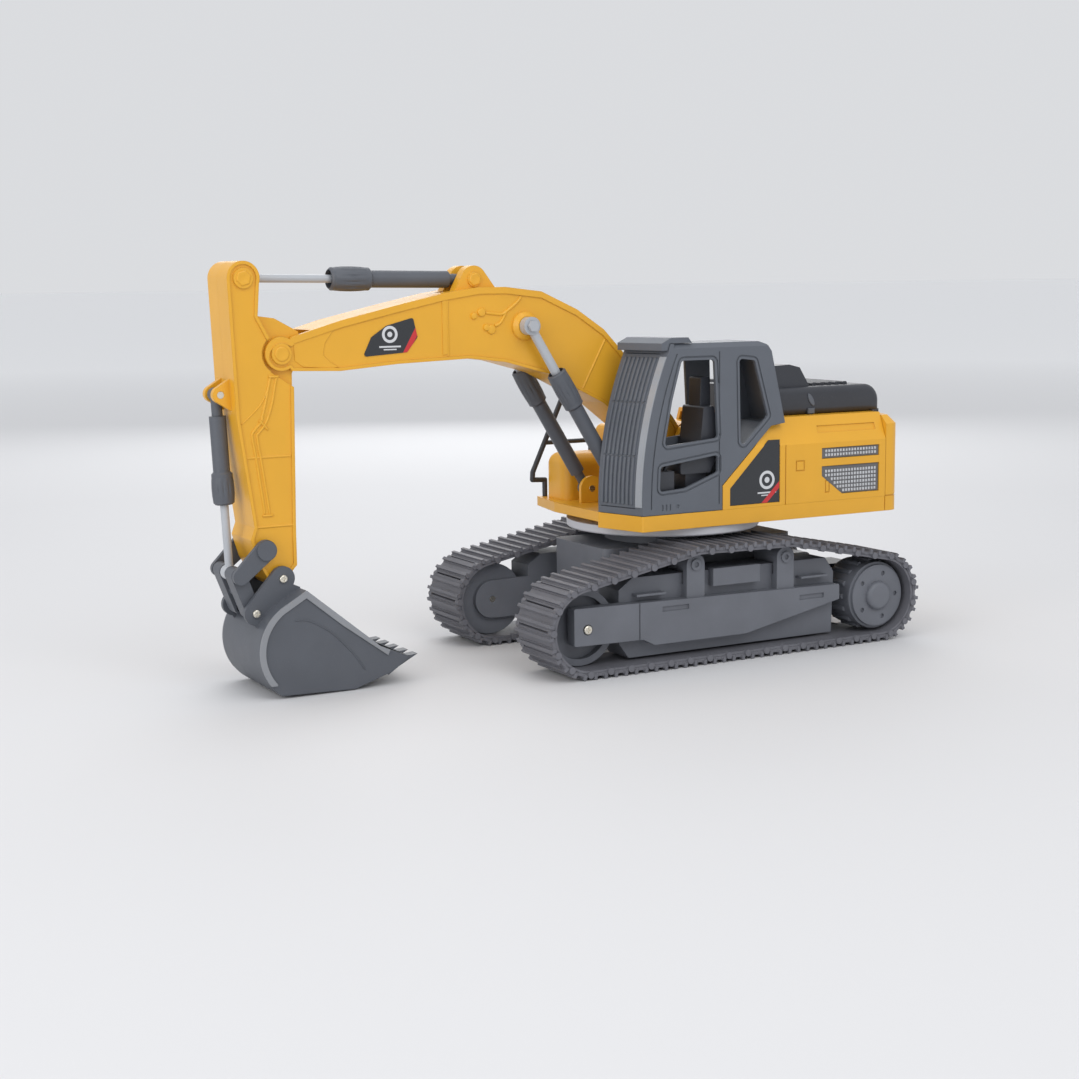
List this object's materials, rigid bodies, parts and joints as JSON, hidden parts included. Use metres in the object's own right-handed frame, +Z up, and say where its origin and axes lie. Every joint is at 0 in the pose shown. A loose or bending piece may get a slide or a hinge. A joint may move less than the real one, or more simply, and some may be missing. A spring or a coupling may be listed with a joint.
{
  "type": "toy excavator",
  "caption": "Toy crawler excavator with a turning upper body, cab, boom, arm and bucket worked by dummy rams, on two tracks.",
  "frame": {"origin": "bottom centre of the whole toy: middle of its length and width, on the ground under the tracks", "axes": "+X forward, the way the boom reaches; +Y to the machine's left, the cab side; +Z up"},
  "size_m": [0.3346, 0.121, 0.1802],
  "materials": {
    "track_dark": "matte moulded",
    "belt_dark": "matte, moulded grousers",
    "yellow": "satin moulded",
    "cab_grey": "satin moulded",
    "pillar_grey": "glossy",
    "black": "satin moulded",
    "ring_grey": "satin moulded",
    "silver_plastic": "silver-grey moulded",
    "grille_silver": "perforated, bright",
    "nickel": "nickel-plated",
    "badge_black": "printed foil with a red stripe",
    "bucket_grey": "satin moulded",
    "trim_silver": "silver paint",
    "battery_wrap": "shrink wrap",
    "circuit_green": "solder mask",
    "lamp_clear": "clear"
  },
  "bodies": {
    "undercarriage": {"left_track_belt": "belt_dark", "right_track_belt": "belt_dark", "left_track_frame": "track_dark", "right_track_frame": "track_dark", "left_gearbox_case": "black", "right_gearbox_case": "black", "drive_motors": "nickel", "idler_axles": "nickel", "chassis_frame": "track_dark", "battery_door": "track_dark", "base_cover": "track_dark", "battery_pack": "battery_wrap", "case_screws": "nickel", "slew_ring": "ring_grey", "slew_retainer": "ring_grey"},
    "switch": {"power_switch": "black"},
    "left_drive": {"left_sprocket": "track_dark"},
    "right_drive": {"right_sprocket": "track_dark"},
    "left_idler": {"left_idler_wheel": "track_dark"},
    "right_idler": {"right_idler_wheel": "track_dark"},
    "turret": {"deck": "yellow", "left_side_panel": "yellow", "right_side_panel": "yellow", "side_grilles": "grille_silver", "side_badge": "badge_black", "counterweight": "yellow", "engine_hood": "black", "circuit_board": "circuit_green", "fuel_tank": "yellow", "toolbox": "yellow", "handrail": "black", "cab_shell": "cab_grey", "cab_front_guard": "black", "cab_pillar_trim": "pillar_grey", "roof_visor": "cab_grey", "driver_seat": "black", "control_console": "black", "cab_lamp": "lamp_clear", "boom_bracket": "yellow", "deck_pins": "nickel"},
    "boom": {"boom_left_shell": "yellow", "boom_right_shell": "yellow", "boom_badges": "badge_black", "arm_motor": "black", "boom_pins": "silver_plastic"},
    "boom_barrels": {"boom_cylinders": "black"},
    "boom_pushers": {"boom_rods": "silver_plastic"},
    "arm": {"arm_left_shell": "yellow", "arm_right_shell": "yellow", "arm_pins": "nickel"},
    "arm_barrel": {"arm_cylinder": "black"},
    "arm_pusher": {"arm_rod": "silver_plastic"},
    "bucket_barrel": {"bucket_cylinder": "black"},
    "bucket_pusher": {"bucket_rod": "silver_plastic"},
    "rocker_arm": {"rocker": "bucket_grey"},
    "link": {"bucket_link": "bucket_grey"},
    "bucket": {"bucket_shell": "bucket_grey", "bucket_teeth": "bucket_grey", "bucket_side_trims": "trim_silver", "bucket_screws": "nickel"}
  },
  "joints": [
    {"name": "turret_slew", "type": "hinge", "parent": "undercarriage", "child": "turret", "pos_m": [-0.0543, 0, 0.06], "axis": [0, 0, 1], "continuous": true},
    {"name": "boom_lift", "type": "hinge", "parent": "turret", "child": "boom", "pos_m": [-0.0603, 0, 0.096], "axis": [0, -1, 0], "range_deg": [-5, 20]},
    {"name": "arm_swing", "type": "hinge", "parent": "boom", "child": "arm", "pos_m": [0.1391, 0, 0.1422], "axis": [0, -1, 0], "range_deg": [-30, 15]},
    {"name": "bucket_curl", "type": "hinge", "parent": "arm", "child": "bucket", "pos_m": [0.1427, 0, 0.0492], "axis": [0, -1, 0], "range_deg": [-15, 35]},
    {"name": "boom_barrel_tilt", "type": "hinge", "parent": "turret", "child": "boom_barrels", "pos_m": [-0.0223, 0, 0.0735], "axis": [0, -1, 0], "range_deg": [-4.88, 19.36]},
    {"name": "boom_rod_tilt", "type": "hinge", "parent": "boom", "child": "boom_pushers", "pos_m": [0.0252, 0, 0.1511], "axis": [0, -1, 0], "range_deg": [-0.74, 0.222]},
    {"name": "arm_barrel_tilt", "type": "hinge", "parent": "boom", "child": "arm_barrel", "pos_m": [0.0482, 0, 0.1716], "axis": [0, -1, 0], "range_deg": [-4.94, 2.5]},
    {"name": "arm_rod_tilt", "type": "hinge", "parent": "arm", "child": "arm_pusher", "pos_m": [0.1545, 0, 0.1732], "axis": [0, -1, 0], "range_deg": [-12.61, 25.16]},
    {"name": "rocker_turn", "type": "hinge", "parent": "arm", "child": "rocker_arm", "pos_m": [0.1495, 0, 0.0616], "axis": [0, -1, 0], "range_deg": [-17.51, 40.8]},
    {"name": "link_turn", "type": "hinge", "parent": "rocker_arm", "child": "link", "pos_m": [0.1607, 0, 0.0514], "axis": [0, -1, 0], "range_deg": [-35.65, 15.31]},
    {"name": "bucket_barrel_tilt", "type": "hinge", "parent": "arm", "child": "bucket_barrel", "pos_m": [0.1639, 0, 0.126], "axis": [0, -1, 0], "range_deg": [-1.69, 3.88]},
    {"name": "bucket_rod_tilt", "type": "hinge", "parent": "rocker_arm", "child": "bucket_pusher", "pos_m": [0.1607, 0, 0.0514], "axis": [0, -1, 0], "range_deg": [-36.97, 15.87]},
    {"name": "left_drive_spin", "type": "hinge", "parent": "undercarriage", "child": "left_drive", "pos_m": [-0.1388, 0, 0.0214], "axis": [0, 1, 0], "continuous": true},
    {"name": "left_idler_spin", "type": "hinge", "parent": "undercarriage", "child": "left_idler", "pos_m": [0.02, 0, 0.0214], "axis": [0, 1, 0], "continuous": true},
    {"name": "right_drive_spin", "type": "hinge", "parent": "undercarriage", "child": "right_drive", "pos_m": [-0.1388, 0, 0.0214], "axis": [0, 1, 0], "continuous": true},
    {"name": "right_idler_spin", "type": "hinge", "parent": "undercarriage", "child": "right_idler", "pos_m": [0.02, 0, 0.0214], "axis": [0, 1, 0], "continuous": true},
    {"name": "power_slide", "type": "slide", "parent": "undercarriage", "child": "switch", "axis": [1, 0, 0], "range_m": [0, 0.005]}
  ],
  "couplings": [
    {"joint": "boom_barrel_tilt", "follows": "boom_lift", "ratio": 0.9655},
    {"joint": "boom_rod_tilt", "follows": "boom_lift", "ratio": -0.0345},
    {"joint": "arm_barrel_tilt", "follows": "arm_swing", "ratio": 0.163},
    {"joint": "arm_rod_tilt", "follows": "arm_swing", "ratio": -0.837},
    {"joint": "rocker_turn", "follows": "bucket_curl", "ratio": 1.1642},
    {"joint": "link_turn", "follows": "bucket_curl", "ratio": -1.0172},
    {"joint": "bucket_barrel_tilt", "follows": "bucket_curl", "ratio": 0.10944},
    {"joint": "bucket_rod_tilt", "follows": "bucket_curl", "ratio": -1.0548},
    {"joint": "left_idler_spin", "follows": "left_drive_spin", "ratio": 1},
    {"joint": "right_idler_spin", "follows": "right_drive_spin", "ratio": 1}
  ]
}
